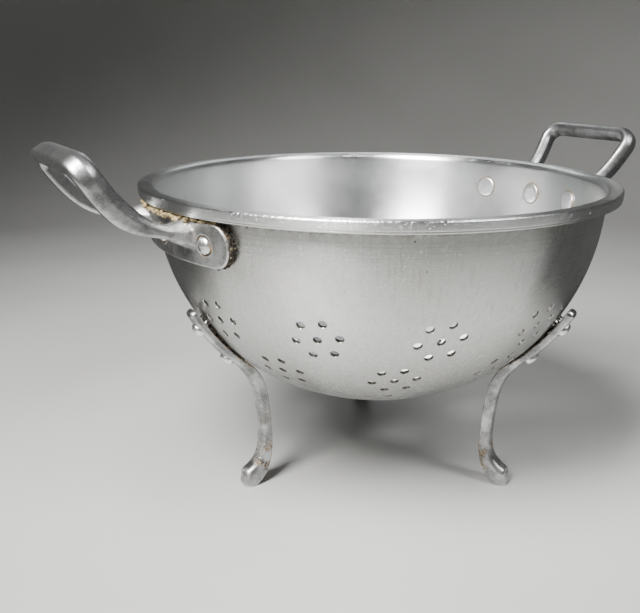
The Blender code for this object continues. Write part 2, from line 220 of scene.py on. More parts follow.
def read(items, key, width=3, kind=float):
    """One value of every item of a mesh, as an array with a row for each item."""
    values = np.zeros(len(items) * width, kind)
    items.foreach_get(key, values)
    return values.reshape(-1, width) if width > 1 else values


def read_points(mesh):
    return read(mesh.vertices, "co") / MM


def loft(bm, rings):
    """Join rings of points with quads and cap both ends."""
    loops = [[bm.verts.new(p) for p in ring] for ring in rings]
    count = len(loops[0])
    for near, far in zip(loops, loops[1:]):
        for j in range(count):
            k = (j + 1) % count
            bm.faces.new((near[j], near[k], far[k], far[j]))
    bm.faces.new(loops[0][::-1])
    bm.faces.new(loops[-1])


def turned(bm, profile, segments, matrix=None):
    """Revolve (radius, height) points about Z. A point with no radius is a pole."""
    rows = []
    for radius, height in profile:
        if radius < 1e-6:
            rows.append([bm.verts.new((0.0, 0.0, height))])
            continue
        angles = [2.0 * pi * i / segments for i in range(segments)]
        rows.append([bm.verts.new((radius * cos(a), radius * sin(a), height)) for a in angles])
    for upper, lower in zip(rows, rows[1:]):
        for i in range(segments):
            k = (i + 1) % segments
            corners = [upper[i % len(upper)], upper[k % len(upper)]]
            corners += [lower[k % len(lower)], lower[i % len(lower)]]
            bm.faces.new(list(dict.fromkeys(corners)))
    if matrix:
        bmesh.ops.transform(bm, matrix=matrix, verts=[v for row in rows for v in row])


def rounded(corners, steps=4):
    """An outline through (x, y, corner radius) points, with an arc at each rounded corner."""
    points = []
    for i, (x, y, radius) in enumerate(corners):
        here = Vector((x, y))
        if radius <= 0.0 or i in (0, len(corners) - 1):
            points.append(here)
            continue
        to_last = Vector(corners[i - 1][:2]) - here
        to_next = Vector(corners[i + 1][:2]) - here
        reach = min(radius, 0.45 * to_last.length, 0.45 * to_next.length)
        start = here + to_last.normalized() * reach
        end = here + to_next.normalized() * reach
        for step in range(steps + 1):
            t = step / steps
            points.append(start * (1 - t) ** 2 + here * 2 * t * (1 - t) + end * t * t)
    return points


def symmetric(corners):
    """A closed outline from its right half, which starts and ends on the middle line."""
    right = rounded(corners, 3)
    return right + [Vector((-p.x, p.y)) for p in reversed(right[1:-1])]


def cloudy(spot, scale, shift=(0.0, 0.0, 0.0)):
    """Smooth noise from 0 to 1 at a place."""
    return 0.5 + 0.5 * noise.noise(Vector(spot) * scale + Vector(shift))


# --- bowl ---


def bowl_radius(depth, inset=0.0):
    part = min(max(depth / (BOWL_DEPTH - inset), 0.0), 1.0)
    return (BOWL_RADIUS - inset) * (1.0 - part**BOWL_EXPONENT) ** (1.0 / BOWL_EXPONENT)


def bowl_point(depth, angle, lift=0.0):
    """A point over the bowl's outer wall, lift along the outward normal, and that normal."""
    step = 0.05
    slope = (bowl_radius(depth + step) - bowl_radius(depth - step)) / (2.0 * step)
    length = hypot(1.0, slope)
    out, down = 1.0 / length, -slope / length
    radius = bowl_radius(depth) + lift * out
    height = RIM_TOP - depth - lift * down
    turn = radians(angle)
    point = Vector((radius * cos(turn), radius * sin(turn), height))
    return point, Vector((out * cos(turn), out * sin(turn), -down))


def wall_profile(inset):
    """Wall points from under the rim to the pole, spaced evenly by angle."""
    depth_limit, radius_limit = BOWL_DEPTH - inset, BOWL_RADIUS - inset
    power = 2.0 / BOWL_EXPONENT
    first = atan2((WALL_START / depth_limit) ** (1.0 / power), 1.0)
    points = []
    for i in range(WALL_RINGS + 1):
        angle = first + (pi / 2.0 - first) * i / WALL_RINGS
        radius = radius_limit * max(cos(angle), 0.0) ** power
        depth = depth_limit * sin(angle) ** power
        points.append((radius if i < WALL_RINGS else 0.0, RIM_TOP - depth))
    return points


def rim_profile():
    """The rim from the inner wall over the top, down outside, and back under to the wall."""
    outer, inner = RIM_RADIUS, BOWL_RADIUS - WALL
    corners = (
        (inner, 10.0, 0.0),
        (inner + 0.5, 3.2, 1.6),
        (inner + 2.4, 0.5, 1.2),
        (inner + 5.0, 0.0, 0.8),
        (outer - 1.0, 0.0, 0.35),
        (outer, 0.9, 0.3),
        (outer - 0.15, 5.1, 0.3),
        (outer - 0.55, 5.35, 0.12),
        (outer - 0.5, 6.5, 0.5),
        (outer - 2.2, 7.2, 0.5),
        (outer - 3.2, 6.6, 0.4),
        (outer - 2.5, 5.0, 0.6),
        (outer - 2.4, 2.5, 0.9),
        (outer - 5.6, 2.1, 1.0),
        (BOWL_RADIUS + 1.0, 3.6, 1.5),
        (BOWL_RADIUS + 0.1, 8.0, 1.5),
        (BOWL_RADIUS, 10.0, 0.0),
    )
    return [(p.x, RIM_TOP - p.y) for p in rounded(corners)]


def normal_frame(point, normal):
    return Matrix.Translation(point) @ normal.to_track_quat("Z", "X").to_matrix().to_4x4()


def group_holes(middle_depth, angle):
    """Depth and angle of the seven holes of one group: tilted rows of two, three and two."""
    step = 0.5
    slope = (bowl_radius(middle_depth - step) - bowl_radius(middle_depth + step)) / (2.0 * step)
    steepness = hypot(1.0, slope)
    tilt = radians(HOLE_TILT)
    for row, count in ((-1, 2), (0, 3), (1, 2)):
        for i in range(count):
            aside = (i - (count - 1) / 2.0) * HOLE_PITCH
            below = row * HOLE_ROW_PITCH
            depth = middle_depth + (below * cos(tilt) - aside * sin(tilt)) / steepness
            around = (aside * cos(tilt) + below * sin(tilt)) / bowl_radius(depth)
            yield depth, angle + degrees(around)


def hole_frames():
    """A frame on the outer wall for every drain hole, leaving out the group behind a leg."""
    for middle, count, first in HOLE_RINGS:
        for i in range(count):
            angle = first + 360.0 * i / count
            on_arm = ARM_TIP_DEPTH + GROUP_HALF_HEIGHT < middle < ARM_END_DEPTH
            if on_arm and min(turn_gap(angle, leg) for leg in LEG_ANGLES.values()) < ARM_CLEARANCE:
                continue
            for depth, turn in group_holes(middle, angle):
                yield normal_frame(*bowl_point(depth, turn))
    floor = RIM_TOP - BOWL_DEPTH
    down = Vector((0.0, 0.0, -1.0))
    # Turned a little, so that no corner of a hole falls on an edge between the bowl's faces.
    twist = radians(FLOOR_TWIST)
    offset = Matrix.Rotation(twist, 4, "Z")
    yield normal_frame(Vector((0.0, 0.0, floor)), down) @ offset
    for i in range(6):
        turn = pi * i / 3.0 + twist
        spot = Vector((HOLE_PITCH * cos(turn), HOLE_PITCH * sin(turn), floor))
        yield normal_frame(spot, down) @ offset


def hole_cutter():
    """Slightly flared round cutters: each hole has a small chamfer on both faces."""
    past = 1.2
    radius, wide = HOLE_RADIUS, HOLE_RADIUS + past
    profile = [(0.0, past), (wide, past), (radius, -HOLE_CHAMFER), (radius, -WALL + 0.1)]
    profile += [(wide, -WALL - past), (0.0, -WALL - past)]
    bm = bmesh.new()
    for matrix in hole_frames():
        turned(bm, profile, HOLE_SIDES, matrix)
    return linked("hole_cutter", mesh_from(bm, "hole_cutter"))


def wall_normals(mesh):
    """Exact smooth normals on the two walls, so that the cut holes leave no shading marks."""
    normals = read(mesh.corner_normals, "vector")
    totals = read(mesh.polygons, "loop_total", 1, int)
    face_of = np.repeat(read(mesh.polygons, "normal"), totals, axis=0)
    at = read_points(mesh)[read(mesh.loops, "vertex_index", 1, int)]
    radius = np.clip(np.hypot(at[:, 0], at[:, 1]), 1e-6, None)
    depth = RIM_TOP - at[:, 2]
    n = BOWL_EXPONENT
    for inset, sign in ((0.0, 1.0), (WALL, -1.0)):
        a, b = BOWL_RADIUS - inset, BOWL_DEPTH - inset
        out = (radius / a) ** (n - 1.0) / a
        down = (np.clip(depth, 1e-6, None) / b) ** (n - 1.0) / b
        size = np.hypot(out, down)
        out, down = sign * out / size, sign * down / size
        exact = np.stack((out * at[:, 0] / radius, out * at[:, 1] / radius, -down), axis=1)
        level = (radius / a) ** n + (np.clip(depth, 0.0, None) / b) ** n
        on_wall = (np.abs(level - 1.0) < 0.0035) & (depth > WALL_START - 3.0)
        on_wall &= (exact * face_of).sum(axis=1) > 0.96
        normals[on_wall] = exact[on_wall]
    mesh.normals_split_custom_set(normals.tolist())


def paint(mesh, name, values):
    """A smooth value for every vertex, for the materials to read."""
    layer = mesh.attributes.new(name, "FLOAT", "POINT")
    layer.data.foreach_set("value", np.asarray(values, dtype=np.float32))


def in_bore(spot, normal):
    """Whether a face at a place in the wall is the side of a drain hole."""
    radius, depth = hypot(spot.x, spot.y), RIM_TOP - spot.z
    if depth < WALL_START:
        return False
    part_out, part_down = radius / BOWL_RADIUS, depth / BOWL_DEPTH
    out = part_out ** (BOWL_EXPONENT - 1.0) / BOWL_RADIUS
    down = part_down ** (BOWL_EXPONENT - 1.0) / BOWL_DEPTH
    away = max(radius, 1e-6)
    wall = Vector((out * spot.x / away, out * spot.y / away, -down)).normalized()
    return abs(wall.dot(normal)) < 0.4


def make_bowl(outside, inside, bore):
    bm = bmesh.new()
    inner = wall_profile(WALL)
    outer = wall_profile(0.0)
    turned(bm, inner[::-1] + rim_profile() + outer, BOWL_SEGMENTS)
    mesh = mesh_from(bm, "bowl_skin")
    cutter = hole_cutter()
    settings = {"operation": "DIFFERENCE", "solver": "EXACT", "object": cutter}
    mesh = evaluated(mesh, ("BOOLEAN", settings))
    bpy.data.objects.remove(cutter, do_unlink=True)
    mesh.set_sharp_from_angle(angle=radians(35.0))
    rim_edge = 2.5
    for face in mesh.polygons:
        spot = face.center / MM
        depth = RIM_TOP - spot.z
        within = hypot(spot.x, spot.y) < bowl_radius(depth) - WALL / 2.0
        face.material_index = 1 if depth > rim_edge and within else 0
        if in_bore(spot, face.normal):
            face.material_index = 2
    arris, rim, grime_and_shade, tarnish_and_shade = [], [], [], []
    for vert in mesh.vertices:
        spot = vert.co / MM
        radius, depth = hypot(spot.x, spot.y), RIM_TOP - spot.z
        # The rim and its outer edge: masks for a painted reflection and a painted highlight.
        arris.append(exp(-((radius - RIM_RADIUS + 0.4) ** 2 + (depth - 0.5) ** 2) / 1.1))
        rim.append(1.0 - blend(depth, 6.0, 7.2))
        # Dirt, with painted shade under the rim and along the legs' arms.
        grime_and_shade.append(bowl_grime_and_shade(spot, radius, depth))
        # Darker towards the bottom: tarnish, and painted shade for the dark floor reflected there.
        tarnish_and_shade.append(blend(depth, 50.0, 130.0))
    layers = {"arris": arris, "rim": rim, "grime_and_shade": grime_and_shade, "tarnish_and_shade": tarnish_and_shade}
    for name, values in layers.items():
        paint(mesh, name, values)
    wall_normals(mesh)
    return piece("bowl_skin", mesh, "spun_aluminium", (outside, inside, bore), "bowl")


def head_halo(spot, angle, depth):
    """Stain on the inner wall just round a handle rivet's flat head."""
    if abs(depth - HANDLE_RIVET_DEPTH) > 12.0:
        return 0.0
    total = 0.0
    for centre in HANDLE_ANGLES.values():
        for offset in HANDLE_RIVET_ANGLES.values():
            if turn_gap(angle, centre + offset) < 6.0:
                head = bowl_point(HANDLE_RIVET_DEPTH, centre + offset, -WALL)[0]
                total += exp(-((((spot - head).length - INNER_HEAD_RADIUS) / 2.2) ** 2))
    return min(total, 1.0)


def bowl_grime_and_shade(spot, radius, depth):
    """Brown film with painted shade: a thin line under the rim and by the legs' arms, dirt and
    painted shade together, and stains round the inner heads.
    """
    angle = degrees(atan2(spot.y, spot.x))
    patch = cloudy(spot, 0.12)
    if radius < bowl_radius(depth) - 0.5:
        return head_halo(spot, angle, depth) * blend(patch, 0.4, 0.65)
    total = 0.8 * exp(-(((depth - 8.4) / 1.5) ** 2)) * (0.3 + 0.7 * patch)
    for leg in LEG_ANGLES.values():
        beside = turn_gap(angle, leg) * radians(1.0) * radius
        if ARM_TIP_DEPTH - 8.0 < depth < ARM_END_DEPTH + 4.0:
            total += 0.7 * exp(-((max(beside - 4.5, 0.0) / 2.2) ** 2)) * (0.3 + patch * 0.7)
    return min(total, 1.0)


# --- castings ---


def plate_half_height(along, corner_start):
    """Half the plate's height at a distance from its middle, less inside a rounded corner."""
    into_corner = abs(along) - corner_start
    if into_corner <= 0.0:
        return PLATE_HALF_HEIGHT
    drop = PLATE_CORNER - (max(PLATE_CORNER**2 - into_corner**2, 0.0)) ** 0.5
    return max(PLATE_HALF_HEIGHT - drop, 0.6)


def plate_rings():
    """Cross-sections of the curved plate, from one rounded end to the other."""
    reach = bowl_radius(PLATE_MIDDLE)
    corner_start = radians(PLATE_HALF_ANGLE) * reach - PLATE_CORNER
    ends = [corner_start + PLATE_CORNER * sin(pi / 2.0 * i / 12.0) for i in range(1, 13)]
    flat = [corner_start * i / 14.0 for i in range(-14, 15)]
    rings = []
    for along in [-s for s in reversed(ends)] + flat + ends:
        half = plate_half_height(along, corner_start)
        edge = min(0.9, half * 0.5)
        face = PLATE_GAP + PLATE_THICK
        soft = edge * 0.3
        outline = [(-half, PLATE_GAP), (-half, face - edge), (-half + soft, face - soft)]
        steps = 8
        flat_width = 2.0 * half - 2.0 * edge
        outline += [(-half + edge + flat_width * i / steps, face) for i in range(steps + 1)]
        outline += [(half - soft, face - soft), (half, face - edge), (half, PLATE_GAP)]
        outline += [(half - 2.0 * half * i / steps, PLATE_GAP) for i in range(1, steps)]
        angle = degrees(along / reach)
        rings.append([bowl_point(PLATE_MIDDLE + y, angle, lift)[0] for y, lift in outline])
    return rings


def bezier(p0, p1, p2, p3, t):
    s = 1.0 - t
    return p0 * s**3 + p1 * 3.0 * s * s * t + p2 * 3.0 * s * t * t + p3 * t**3


def loop_outline(length, half_root, half_grip):
    """The loop laid flat: points (distance from the root, sideways) from root to root."""
    along = Vector((length, half_grip - half_root)).normalized()
    turn = acos(max(-1.0, min(1.0, -along.y)))
    back = GRIP_CORNER * tan(turn / 2.0)
    start = Vector((length, half_grip)) - along * back
    centre = start + Vector((along.y, -along.x)) * GRIP_CORNER
    first = atan2(start.y - centre.y, start.x - centre.x)
    root = Vector((0.0, half_root))
    half = [root.lerp(start, i / 44.0) for i in range(44)]
    for i in range(13):
        angle = first - turn * i / 12.0
        half.append(centre + Vector((cos(angle), sin(angle))) * GRIP_CORNER)
    half += [Vector((length, half[-1].y * (1.0 - i / 10.0))) for i in range(1, 10)]
    return half + [Vector((p.x, -p.y)) for p in reversed(half)]


def bar_section(width, depth):
    """A D-shaped bar: flat sides and back, domed towards the inside of the loop."""
    half, crown = width / 2.0, depth * 0.40
    back, shoulder = -depth / 2.0, depth / 2.0 - crown
    side = (
        (half * 0.72, back, 0.8),
        (half, back + depth * 0.14, 1.4),
        (half, shoulder, 0.4),
        (half * 0.66, shoulder + crown * 0.62, 1.5),
        (half * 0.30, depth / 2.0 - crown * 0.05, 1.5),
    )
    return symmetric([(0.0, back, 0.0), *side, (0.0, depth / 2.0, 0.0)])


def handle_loop_rings(side):
    """Cross-sections of the bar along the S-shaped rise and round the grip."""
    slope = radians(GRIP_SLOPE[side])
    p0 = Vector((ROOT_X, RIM_TOP - ROOT_DROP))
    p3 = Vector((GRIP_REACH[side], RIM_TOP + GRIP_RISE[side]))
    p1 = p0 + Vector(ROOT_PULL)
    p2 = p3 - Vector((cos(slope), sin(slope))) * GRIP_PULL
    steps = 160
    curve = [bezier(p0, p1, p2, p3, i / steps) for i in range(steps + 1)]
    run = [0.0]
    for a, b in zip(curve, curve[1:]):
        run.append(run[-1] + (b - a).length)
    total = run[-1]

    def at(distance):
        """Point and tangent on the rising curve at a distance from the root."""
        i = max(j for j in range(steps) if run[j] <= max(distance, 0.0) or j == 0)
        t = (distance - run[i]) / (run[i + 1] - run[i])
        return curve[i].lerp(curve[i + 1], t), (curve[i + 1] - curve[i]).normalized()

    outline = loop_outline(total, ROOT_HALF_WIDTH, GRIP_HALF_WIDTH)
    rings = []
    for i, spot in enumerate(outline):
        before = outline[max(i - 1, 0)]
        after = outline[min(i + 1, len(outline) - 1)]
        along = (after - before).normalized()
        aside = Vector((-along.y, along.x))
        point, rising = at(min(spot.x, total - 1e-3))
        centre = Vector((point.x, spot.y, point.y))
        across = Vector((aside.x * rising.x, aside.y, aside.x * rising.y))
        normal = Vector((-rising.y, 0.0, rising.x))
        share = spot.x / total
        flare = (1.0 - blend(share, 0.0, FLARE_END)) ** 1.5
        depth = NECK_DEPTH + (BAR_DEPTH[side] - NECK_DEPTH) * blend(share, 0.15, 0.6)
        section = bar_section(BAR_WIDTH + FLARE_WIDTH * flare, depth + FLARE_DEPTH * flare)
        rings.append([centre + across * p.x + normal * p.y for p in section])
    return rings


def cast(bm, name, voxel, smoothing):
    """Fuse overlapping closed forms into one casting with softened edges and corners."""
    mesh = mesh_from(bm, name)
    remesh = {"mode": "VOXEL", "voxel_size": voxel * MM}
    smooth = {"factor": 0.5, "iterations": smoothing}
    return evaluated(mesh, ("REMESH", remesh), ("SMOOTH", smooth))


def edge_wear(mesh, scale):
    """How sharply the surface bends outwards at each vertex, 0 to 1, and inwards likewise."""
    points = read_points(mesh)
    edges = read(mesh.edges, "vertices", 2, int)
    total = np.zeros_like(points)
    count = np.zeros(len(points))
    for a, b in ((0, 1), (1, 0)):
        np.add.at(total, edges[:, a], points[edges[:, b]])
        np.add.at(count, edges[:, a], 1.0)
    normals = read(mesh.vertex_normals, "vector")
    bend = -((total / count[:, None] - points) * normals).sum(axis=1) / scale
    for _ in range(3):
        spread = np.zeros(len(points))
        for a, b in ((0, 1), (1, 0)):
            np.add.at(spread, edges[:, a], bend[edges[:, b]])
        bend = 0.5 * bend + 0.5 * spread / count
    return np.clip((bend - 0.035) / 0.09, 0.0, 1.0), np.clip((-bend - 0.02) / 0.08, 0.0, 1.0)


def weather(mesh, points, grime_and_shade, hollow_dirt_and_shade):
    """Give a casting its final points, and paint its rubbed edges, its dirt, and painted shade in
    its hollows.
    """
    mesh.vertices.foreach_set("co", (points * MM).ravel())
    mesh.update()
    wear, hollow = edge_wear(mesh, CASTING_VOXEL)
    paint(mesh, "wear", wear)
    # Hollows are darkened: dirt and painted shade together.
    paint(mesh, "grime_and_shade", np.clip(np.array(list(grime_and_shade)) + hollow_dirt_and_shade * hollow, 0.0, 1.0))


def press_recess(points, centre, normal):
    """Push the plate's face down to a round, flat-bottomed recess about a rivet."""
    away = points - np.array(centre)
    lift = away @ np.array(normal)
    radius = np.linalg.norm(away - lift[:, None] * np.array(normal), axis=1)
    ramp = np.clip((radius - RECESS_RADIUS + 0.35) / 0.7, 0.0, 1.0)
    limit = RECESS_FLOOR + 9.0 * ramp * ramp * (3.0 - 2.0 * ramp)
    near = (radius < RECESS_RADIUS + 0.35) & (lift > RECESS_FLOOR) & (lift < 12.0)
    drop = np.where(near, np.maximum(lift - limit, 0.0), 0.0)
    return points - drop[:, None] * np.array(normal)


def casting_grime(points, handle_angle):
    """How dirty a handle is at each point: plate edges, round the rivets and in the roots."""
    rivets = [bowl_point(HANDLE_RIVET_DEPTH, handle_angle + turn)
              for turn in HANDLE_RIVET_ANGLES.values()]
    for spot in points:
        angle = degrees(atan2(spot[1], spot[0]))
        depth = RIM_TOP - spot[2]
        radius = hypot(spot[0], spot[1])
        lift = radius - bowl_radius(max(depth, 0.0))
        patch, fine = cloudy(spot, 0.22), cloudy(spot, 0.9)
        total = 0.0
        if lift < 5.2 and turn_gap(angle, handle_angle) > 12.0:
            total += 1.0 - blend(lift, 3.9, 5.2)
        if lift < 6.5 and depth < PLATE_TOP + 1.6:
            total += 0.9 * patch
        for point, normal in rivets if lift < 8.0 else ():
            away = Vector(spot) - point
            ring = (away - normal * away.dot(normal)).length
            total += exp(-(((ring - DOME_RADIUS - 0.6) / 0.75) ** 2)) * (0.5 + fine)
        root = exp(-(((radius - 153.0) / 9.0) ** 2)) * (depth > 4.0)
        total += 0.8 * root * patch * fine * blend(lift, 3.0, 8.0)
        yield min(total, 1.0)


def make_handle(side, mat):
    turn = Matrix.Rotation(radians(HANDLE_ANGLES[side]), 4, "Z")
    bm = bmesh.new()
    loft(bm, handle_loop_rings(side))
    loft(bm, plate_rings())
    bmesh.ops.transform(bm, matrix=turn, verts=bm.verts)
    mesh = cast(bm, f"handle_skin_{side}", CASTING_VOXEL, 2)
    points = read_points(mesh)
    for offset in HANDLE_RIVET_ANGLES.values():
        centre, normal = bowl_point(HANDLE_RIVET_DEPTH, HANDLE_ANGLES[side] + offset)
        points = press_recess(points, centre, normal)
    weather(mesh, points, casting_grime(points, HANDLE_ANGLES[side]), 0.5)
    return piece(f"handle_skin_{side}", mesh, "cast_aluminium", (mat,), f"handle_{side}")


def arm_gap(depth):
    share = (ARM_END_DEPTH - depth) / (ARM_END_DEPTH - ARM_TIP_DEPTH)
    return ARM_GAP_END + (ARM_GAP_TIP - ARM_GAP_END) * min(max(share, 0.0), 1.0)


def leg_line():
    """Stations down a leg: (radius, height) of the middle, thickness and width."""
    stations = []
    steps = 7
    for i in range(steps + 1):
        depth = ARM_TIP_DEPTH + (ARM_END_DEPTH - ARM_TIP_DEPTH) * i / steps
        centre = bowl_point(depth, 0.0, arm_gap(depth) + ARM_THICK / 2.0)[0]
        stations.append((centre.x, centre.z, ARM_THICK, LEG_WIDTH))
    stations += [
        (94.3, 79.6, 6.2, LEG_WIDTH),
        (89.9, 72.0, 6.5, LEG_WIDTH),
        (87.0, 62.4, 6.4, LEG_WIDTH),
        (85.1, 48.4, 6.3, LEG_WIDTH),
        (84.1, 34.4, 6.3, LEG_WIDTH),
        (84.5, 23.4, 6.8, LEG_WIDTH + 0.2),
        (86.7, 15.4, 8.2, LEG_WIDTH + 0.8),
        (90.8, 9.0, 10.2, LEG_WIDTH + 1.3),
        (95.6, 5.1, 11.2, LEG_WIDTH + 1.3),
        (98.9, 4.1, 9.8, LEG_WIDTH + 0.2),
        (100.8, 4.2, 5.6, LEG_WIDTH - 3.6),
    ]
    return stations


def smooth_stations(stations, per_span=5):
    """Stations on a Catmull-Rom curve through the given ones."""
    rows = [np.array(s) for s in stations]
    rows = [2.0 * rows[0] - rows[1]] + rows + [2.0 * rows[-1] - rows[-2]]
    result = []
    for a, b, c, d in zip(rows, rows[1:], rows[2:], rows[3:]):
        for i in range(per_span):
            t = i / per_span
            result.append(0.5 * (2.0 * b + (c - a) * t + (2 * a - 5 * b + 4 * c - d) * t**2
                                 + (3 * b - a - 3 * c + d) * t**3))
    result.append(rows[-2])
    return result


def leg_section(width, thick):
    """A bar that is flat towards the bowl and domed outwards, as (sideways, outwards)."""
    half = width / 2.0
    side = (
        (half * 0.92, -thick / 2.0, 0.5),
        (half, -thick * 0.38, 0.7),
        (half * 0.97, thick * 0.28, 1.5),
        (half * 0.6, thick * 0.48, 1.8),
    )
    return symmetric([(0.0, -thick / 2.0, 0.0), *side, (0.0, thick * 0.5, 0.0)])


def leg_rust_and_shade(points):
    """How dark a leg is made at each point: rust at the ankle, and painted shade on the side next
    to the bowl.
    """
    line = leg_line()[:-2][::-1]
    heights, radii = [station[1] for station in line], [station[0] for station in line]
    ankle_height, bend_height = 19.0, 84.0
    for spot in points:
        height, radius = spot[2], hypot(spot[0], spot[1])
        patch, fine = cloudy(spot, 0.13, (3.0, 1.0, 0.0)), cloudy(spot, 1.3)
        ankle = exp(-(((height - ankle_height) / 10.0) ** 2))
        ankle *= blend(patch, 0.35, 0.7) * blend(fine, 0.36, 0.6)
        inner, below = 0.0, 0.0
        # Painted shade: the arm's face against the bowl, and lower down the leg's side towards the
        # middle, which lies in shade.
        if height > bend_height:
            inner = 1.0 - blend(radius - bowl_radius(RIM_TOP - height), 1.2, 4.0)
        elif 12.0 < height < bend_height:
            below = 0.6 * blend(np.interp(height, heights, radii) - radius, 2.3, 3.3)
        yield min(1.6 * ankle + 0.9 * inner + below, 1.0)


def make_leg(name, angle, mat):
    stations = smooth_stations(leg_line())
    rings = []
    for i, (radius, height, thick, width) in enumerate(stations):
        before = stations[max(i - 1, 0)]
        after = stations[min(i + 1, len(stations) - 1)]
        down = Vector((after[0] - before[0], 0.0, after[1] - before[1])).normalized()
        outward = Vector((-down.z, 0.0, down.x))
        # All the added thickness is on the outer face, so the gap to the bowl stays.
        centre = Vector((radius, 0.0, height)) + outward * thick * (LEG_FULLNESS - 1.0) / 2.0
        side = Vector((0.0, 1.0, 0.0))
        section = leg_section(width * LEG_FULLNESS, thick * LEG_FULLNESS)
        rings.append([centre + side * p.x + outward * p.y for p in section])
    tip, centre = rings[0], sum(rings[0], Vector()) / len(rings[0])
    up = (centre - sum(rings[1], Vector()) / len(rings[1])).normalized()
    for grow, lift in ((0.88, 1.2), (0.6, 2.3)):
        rings.insert(0, [centre + (p - centre) * grow + up * lift for p in tip])
    bm = bmesh.new()
    loft(bm, rings)
    bmesh.ops.transform(bm, matrix=Matrix.Rotation(radians(angle), 4, "Z"), verts=bm.verts)
    mesh = cast(bm, f"{name}_skin", CASTING_VOXEL, 2)
    points = read_points(mesh)
    points[:, 2] = np.maximum(points[:, 2], 0.0)
    weather(mesh, points, leg_rust_and_shade(points), 0.3)
    return piece(f"{name}_skin", mesh, "cast_aluminium", (mat,), name)


# --- rivets ---


def rivet_places():
    """Name, depth, angle and height of the outer seat of every rivet."""
    for side, centre in HANDLE_ANGLES.items():
        for place, offset in HANDLE_RIVET_ANGLES.items():
            turn = offset if side == "left" else -offset
            yield f"handle_rivet_{side}_{place}", HANDLE_RIVET_DEPTH, centre + turn, RECESS_FLOOR
    for leg, angle in LEG_ANGLES.items():
        for place, depth in LEG_RIVET_DEPTHS.items():
            yield f"leg_rivet_{leg}_{place}", depth, angle, arm_gap(depth) + ARM_THICK


def make_rivet(name, depth, angle, seat, mat, index):
    """A hand-set rivet: an uneven domed head outside and a thin flat head inside."""
    frame_at = normal_frame(*bowl_point(depth, angle))
    base = seat - 0.1
    dome = [(0.0, base + DOME_HEIGHT)]
    for i in range(1, 9):
        bend = pi / 2.0 * i / 8.0
        dome.append((DOME_RADIUS * sin(bend) ** 0.9, base + DOME_HEIGHT * cos(bend) ** 0.75))
    shank = 2.4
    dome += [(DOME_RADIUS * 0.98, base - 0.3), (shank, base - 0.3), (shank, -WALL + 0.4)]
    inner = INNER_HEAD_RADIUS
    flat = [(inner, -WALL + 0.25), (inner, -WALL - 0.9), (inner - 0.25, -WALL - 1.2)]
    flat += [(inner - 0.8, -WALL - 1.35), (inner * 0.5, -WALL - 1.45), (0.0, -WALL - 1.5)]
    bm = bmesh.new()
    turned(bm, dome + flat, 40)
    for vert in bm.verts:
        rough = noise.noise(vert.co * 0.45 + Vector((index * 7.0, 0.0, 0.0)))
        if vert.co.z > base + 0.5:
            vert.co.z += 0.28 * rough
            vert.co.x *= 1.0 + 0.05 * rough
        if vert.co.z < -WALL - 0.5:
            vert.co.z += 0.06 * rough
    bmesh.ops.transform(bm, matrix=frame_at, verts=bm.verts)
    mesh = mesh_from(bm, f"{name}_skin")
    mesh.set_sharp_from_angle(angle=radians(50.0))
    return piece(f"{name}_skin", mesh, "rivet_aluminium", (mat,), name)


def make_rivet_ring(name, depth, angle, mat):
    """The thin line of dried dirt round a rivet's inner head."""
    inner = INNER_HEAD_RADIUS
    profile = [(inner - 0.3, -WALL + 0.4), (inner - 0.3, -WALL - 0.6), (inner + 0.3, -WALL - 0.55)]
    profile += [(inner + 0.8, -WALL - 0.25), (inner + 1.0, -WALL + 0.4), (inner - 0.3, -WALL + 0.4)]
    bm = bmesh.new()
    turned(bm, profile, 48, normal_frame(*bowl_point(depth, angle)))
    return piece(f"grime_{name}", mesh_from(bm, f"grime_{name}"), "rivet_aluminium", (mat,))


# --- dirt ---


def plate_crust(side):
    """Dried crust packed between the rim and a handle's plate, thickest about the roots."""
    count = CRUST_LUMPS[side]
    dice = random.Random(SEED + count)
    for _ in range(count):
        offset = dice.uniform(-CRUST_SPAN, CRUST_SPAN)
        bulk = 1.0 - blend(abs(offset), 9.0, CRUST_SPAN)
        lift = dice.uniform(0.3, 5.6 + 3.0 * bulk)
        depth = dice.uniform(7.6, 8.8 + 1.5 * bulk)
        radius = dice.uniform(0.45, 0.8 + 0.75 * bulk)
        yield depth, HANDLE_ANGLES[side] + offset, lift, radius, 0.8


def plate_skirt(side):
    """Black grit caught in the corner between the bowl and both ends of a handle's plate; its dark
    line is also a painted contact shadow of the plate.
    """
    count = SKIRT_LUMPS[side]
    dice = random.Random(SEED * 5 + count)
    reach = bowl_radius(PLATE_MIDDLE)
    corner = radians(PLATE_HALF_ANGLE) * reach - PLATE_CORNER
    for _ in range(count):
        turn = radians(dice.uniform(-75.0, 105.0))
        away = PLATE_CORNER + dice.uniform(-0.3, 0.8)
        along = (corner + away * cos(turn)) * dice.choice((-1.0, 1.0))
        depth = PLATE_MIDDLE + away * sin(turn) * PLATE_HALF_HEIGHT / PLATE_CORNER
        lift = dice.uniform(0.0, 4.0)
        angle = HANDLE_ANGLES[side] + degrees(along / reach)
        yield depth, angle, lift, dice.uniform(0.4, 0.85), 1.0


def arm_crust(leg):
    """Dark dirt in the narrow gap between a leg's arm and the bowl."""
    dice = random.Random(SEED * 3 + ARM_LUMPS)
    start = ARM_TIP_DEPTH + 4.0
    for _ in range(ARM_LUMPS):
        depth = start + (ARM_END_DEPTH - start) * dice.random() ** 0.8
        angle = LEG_ANGLES[leg] + degrees(dice.uniform(-4.8, 4.8) / bowl_radius(depth))
        lift = dice.uniform(0.0, 1.0) * arm_gap(depth)
        yield depth, angle, lift, dice.uniform(0.4, 0.8), 1.0


